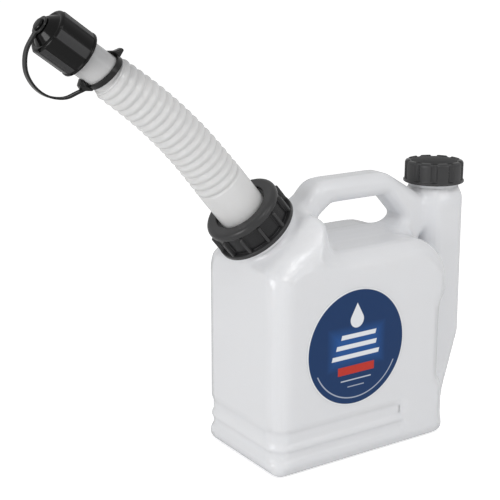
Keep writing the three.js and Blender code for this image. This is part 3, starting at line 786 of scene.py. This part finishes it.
def build_spout_cap():
    """The cap: six wide raised bands edged by fine lines, a lip at the rim, a rounded end, a
    conical step and the boss that holds the strap's eyelet."""
    bore = 9.9
    side = 12.1
    rim_radius = 12.7
    top = 21.5
    step = 24.9
    stem = 1.7
    profile = rounded_path([
        (0, 19.3, 0), (bore, 19.3, 0.4), (bore, 0, 0.4), (rim_radius, 0, 0.4), (rim_radius, 1.3, 0.4),
        (side, 1.5, 0.3), (side, top, 1.5), (10.0, top, 0.5), (9.6, top - 0.4, 0.3), (9.1, top, 0.3),
        (5.9, step, 0.8), (stem, step, 0.3), (stem, 26.7, 0.1), (3.7, 26.7, 0.2), (3.0, 27.6, 0.9),
        (0, 27.8, 0)], 0.4)
    angles = rib_angles(6, np.pi / 6, side, [1.8, 2.05, 2.25, 2.4, 2.55, 2.7, 2.85, 3.05, 3.4], 12)

    def shape(r, z, a):
        apart = np.abs(np.mod(a, np.pi / 3) - np.pi / 6) * side
        band = smoothstep(2.75, 2.5, apart)
        edge = smoothstep(0.28, 0.05, np.abs(apart - 2.45))
        upright = smoothstep(1.5, 2.2, z) * smoothstep(21.2, 19.8, z) * smoothstep(11.2, 11.8, r)
        on_bore = (np.abs(r - bore) < 0.05) & (z < 19.2)
        ridge = thread(z + 0.3, a, 1.5, 17.5, 0.5)
        return r + upright * (0.24 * band + 0.2 * edge) - np.where(on_bore, 0.45 * ridge, 0), z
    cap = on_spout(turned(profile, angles, shape), CAP_RIM)
    piece("spout_cap_shell", [cap], GLOSS, "spout_cap", "spout_cap")


def build_oil_cap():
    """The oil cap: ten lobes between narrow flutes, a raised collar cut by the flutes, and a
    slightly domed disc inside a fine ring groove."""
    rim = 151.7
    top = 165.2
    bore = 15.6
    side = 18.1
    rim_radius = 18.8
    profile = rounded_path([
        (0, 163.0, 0), (bore, 163.0, 0.4), (bore, rim, 0.3), (rim_radius, rim, 0.5),
        (rim_radius, rim + 1.2, 0.5), (side, rim + 2.0, 0.4), (side, top, 2.0), (15.4, top, 0.5),
        (14.6, top - 0.9, 0.4), (13.9, top - 0.4, 0.4), (8.0, top + 0.2, 12.0), (0, top + 0.55, 0)], 0.4)
    flutes = 10
    spacing = 2 * np.pi / flutes
    flute_radius = 2.4
    flute_centre = 19.1
    turn = math.radians(12.5)
    angles = rib_angles(flutes, turn, side, [0.5, 1.0, 1.5, 1.8, 2.0, 2.15, 2.3, 2.5, 2.8], 10)

    def shape(r, z, a):
        """A flute is a circle of the radius q about a point at c: c cos d - sqrt(q q - c c sin d sin d)
        at the angle d from it."""
        apart = np.mod(a - turn + spacing / 2, spacing) - spacing / 2
        reach = np.maximum(flute_radius ** 2 - (flute_centre * np.sin(apart)) ** 2, 0)
        flute = flute_centre * np.cos(apart) - np.sqrt(reach)
        flute = np.where(reach > 0, flute, 99)
        cut = smooth_min(r, flute, 0.6)
        upright = smoothstep(rim + 1.4, rim + 2.4, z) * smoothstep(14.6, 15.6, r)
        on_bore = (np.abs(r - bore) < 0.05) & (z < 162.9)
        ridge = thread(z, a, rim + 0.8, 161.8, 0.5)
        notch = smoothstep(2.5, 1.9, np.abs(apart) * side) * smoothstep(14.7, 15.6, r)
        z = z - notch * np.maximum(z - (top - 0.9), 0)
        return r + upright * (cut - r) - np.where(on_bore, 0.3 * ridge, 0), z
    cap = leaned(turned(profile, angles, shape), (TOWER_X, 0), 0)
    piece("oil_cap_shell", [cap], OIL_CAP, "oil_cap", "oil_cap")


def catmull_rom(points, samples):
    """A Catmull-Rom curve through the points, resampled at even distances along it: between b and c
    it is half of 2 b + (c - a) t + (2 a - 5 b + 4 c - d) t t + (3 b - a - 3 c + d) t t t."""
    points = np.array(points, float)
    padded = np.vstack([points[:1], points, points[-1:]])
    t = np.linspace(0, 1, 40, endpoint=False)[:, None]
    dense = []
    for a, b, c, d in zip(padded, padded[1:], padded[2:], padded[3:]):
        square = 2 * a - 5 * b + 4 * c - d
        cube = 3 * b - a - 3 * c + d
        dense.append(0.5 * (2 * b + (c - a) * t + square * t ** 2 + cube * t ** 3))
    dense = np.vstack(dense + [points[-1:]])
    at = np.concatenate([[0], np.cumsum(np.linalg.norm(np.diff(dense, axis=0), axis=1))])
    even = np.linspace(0, at[-1], samples)
    return np.stack([np.interp(even, at, dense[:, k]) for k in (0, 1)], -1)


def closed_ends(rings):
    """A tube of rings (rows, columns, 3) with a point in the middle of each end."""
    first = np.repeat(rings[:1].mean(1, keepdims=True), rings.shape[1], axis=1)
    last = np.repeat(rings[-1:].mean(1, keepdims=True), rings.shape[1], axis=1)
    return skin(np.concatenate([first, rings, last]))


def build_strap():
    """The strap: a ring that leans a little on the cuff, the ribbon, the eyelet under the boss's
    head, a horn on top of the ring and a gusset where the ribbon meets it. Heights are along the
    spout's axis from the cap's rim, and the ribbon's route is a line of (height, way down)."""
    ring_slope = 0.18
    ring = turned(rounded_path([
        (9.9, -16.7, 0.3), (11.3, -16.7, 0.4), (11.3, -13.5, 0.4), (9.9, -13.5, 0.3)], 0.5, closed=True),
        96, closed=True)
    ring[0][:, 2] -= ring_slope * ring[0][:, 0]
    eyelet = turned(rounded_path([
        (2.0, 25.2, 0.3), (5.2, 25.2, 0.4), (5.2, 26.4, 0.4), (2.0, 26.4, 0.3)], 0.4, closed=True),
        48, closed=True)
    route = catmull_rom([(25.8, 4.2), (25.2, 12.7), (22.6, 18.7), (18.5, 23.2), (12.5, 26.0), (6.0, 26.6),
                         (0.0, 25.0), (-5.4, 21.5), (-9.2, 16.0), (-12.6, 11.0)], 90)
    way = np.gradient(route, axis=0)
    way /= np.linalg.norm(way, axis=1)[:, None]
    out = np.stack([-way[:, 1], way[:, 0]], -1)
    section = rounded_path([(-2.0, -0.6, 0.25), (2.0, -0.6, 0.25), (2.0, 0.6, 0.25), (1.2, 0.6, 0.1),
                            (0.9, 0.35, 0.1), (-0.9, 0.35, 0.1), (-1.2, 0.6, 0.1), (-2.0, 0.6, 0.25)],
                           0.6, closed=True)
    across = section[None, :, 0]
    thick = section[None, :, 1]
    forward = route[:, :1] + thick * out[:, :1]
    below = route[:, 1:] + thick * out[:, 1:]
    ribbon = closed_ends(np.stack([-below, across + 0 * forward, forward], -1))

    def tab(outline, sign, half):
        """An upright plate with a closed outline of (along, out) points, rounded towards both of its
        sides across Y."""
        outline = rounded_path(outline, 1.0, closed=True)
        middle = outline.mean(0)
        rows = []
        for share, size in ((-1, 0.86), (-0.8, 0.96), (-0.4, 1.0), (0.4, 1.0), (0.8, 0.96), (1, 0.86)):
            spot = middle + (outline - middle) * size
            rows.append(np.stack([sign * spot[:, 1], share * half + 0 * spot[:, 0], spot[:, 0]], -1))
        return closed_ends(np.array(rows))

    horn = tab([(-10.8, 9.7, 0), (-14.4, 12.2, 3.0), (-16.7, 15.5, 0.7), (-18.2, 15.3, 0.7),
                (-18.4, 9.7, 0)], 1, 2.0)
    gusset = tab([(-6.6, 9.7, 0), (-7.6, 13.2, 1.0), (-10.5, 14.2, 0.8), (-15.0, 11.4, 0),
                  (-15.0, 9.7, 0)], -1, 2.4)
    shells = [on_spout(shell, CAP_RIM) for shell in (ring, eyelet, ribbon, horn, gusset)]
    strap = piece("strap_moulding", shells, STRAP, "cap_strap")
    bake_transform(strap)


build_bottle()
build_label()
build_ring()
build_spout()
build_spout_cap()
build_oil_cap()
build_strap()

for node, material in (("spout_gasket", RUBBER), ("spout_cap_liner", FOAM), ("oil_cap_liner", FOAM)):
    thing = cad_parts[node]
    thing.data.materials.clear()
    thing.data.materials.append(material)


# Stage, light and camera

def stage_plane(name, points, material):
    mesh = bpy.data.meshes.new(name)
    mesh.from_pydata(points, [], [(0, 1, 2, 3)])
    mesh.materials.append(material)
    plane = bpy.data.objects.new(name, mesh)
    bpy.context.scene.collection.objects.link(plane)


floor_material = node_material("pale floor", (0.9, 0.9, 0.9), 0.9)
floor_shader = shader_of(floor_material)
floor_shader.inputs["Emission Color"].default_value = (1, 1, 1, 1)
floor_nodes = floor_material.node_tree.nodes
floor_links = floor_material.node_tree.links
floor_path = floor_nodes.new("ShaderNodeLightPath")
floor_glow = floor_nodes.new("ShaderNodeMath")
floor_glow.operation = "MULTIPLY"
floor_glow.inputs[1].default_value = 0.5
floor_links.new(floor_path.outputs["Is Camera Ray"], floor_glow.inputs[0])
floor_links.new(floor_glow.outputs[0], floor_shader.inputs["Emission Strength"])
stage_plane("floor", [(-9, -9, 0), (9, -9, 0), (9, 9, 0), (-9, 9, 0)], floor_material)


def aimed(thing, place, target):
    """Stands a light or camera at the place so that its -Z looks at the target."""
    thing.location = place
    way = Vector(target) - Vector(place)
    thing.rotation_euler = way.to_track_quat("-Z", "Y").to_euler()


def soft_light(name, place, size, power, target=(0, 0, 0.1)):
    light = bpy.data.lights.new(name, "AREA")
    light.shape = "RECTANGLE"
    light.size, light.size_y = size
    light.energy = power
    thing = bpy.data.objects.new(name, light)
    bpy.context.scene.collection.objects.link(thing)
    aimed(thing, place, target)


KEY_PLACE = (-0.36, -0.75, 1.12)
soft_light("key", KEY_PLACE, (0.45, 0.45), 1.3)
soft_light("spark", KEY_PLACE, (0.10, 0.10), 0.75)
soft_light("side", (0.55, -1.2, 0.75), (0.6, 0.8), 3.0)
soft_light("end", (-1.3, -0.25, 0.32), (0.5, 0.5), 4.5)

world = bpy.data.worlds.new("white room")
world.use_nodes = True
bpy.context.scene.world = world
tree = world.node_tree
background = tree.nodes["Background"]
path = tree.nodes.new("ShaderNodeLightPath")
seen = tree.nodes.new("ShaderNodeMath")
seen.operation = "MAXIMUM"
tree.links.new(path.outputs["Is Camera Ray"], seen.inputs[0])
tree.links.new(path.outputs["Is Transmission Ray"], seen.inputs[1])
level = tree.nodes.new("ShaderNodeMapRange")
level.inputs["To Min"].default_value = 0.60
level.inputs["To Max"].default_value = 1.0
tree.links.new(seen.outputs[0], level.inputs["Value"])
tree.links.new(level.outputs[0], background.inputs["Strength"])
background.inputs["Color"].default_value = (1, 1, 1, 1)

# The camera fitted to the photo: its focal length in pixels, its place and its turn
FOCAL_PIXELS = 1153.92
PHOTO_PIXELS = 500
SENSOR = 36
CAMERA_PLACE = (-0.40570, -0.52630, 0.29631)
camera_data = bpy.data.cameras.new("camera")
camera_data.sensor_width = SENSOR
camera_data.lens = FOCAL_PIXELS / PHOTO_PIXELS * SENSOR
camera_data.clip_end = 20
camera = bpy.data.objects.new("camera", camera_data)
bpy.context.scene.collection.objects.link(camera)
turn = math.radians(-33.53)
rise = math.radians(15)
right = Vector((math.cos(turn), math.sin(turn), 0))
back = Vector((math.sin(turn) * math.cos(rise), -math.cos(turn) * math.cos(rise), math.sin(rise)))
up = back.cross(right)
rows = [(right[k], up[k], back[k], CAMERA_PLACE[k]) for k in range(3)]
camera.matrix_world = Matrix(rows + [(0, 0, 0, 1)])
bpy.context.scene.camera = camera
bpy.context.scene.view_settings.view_transform = "Standard"
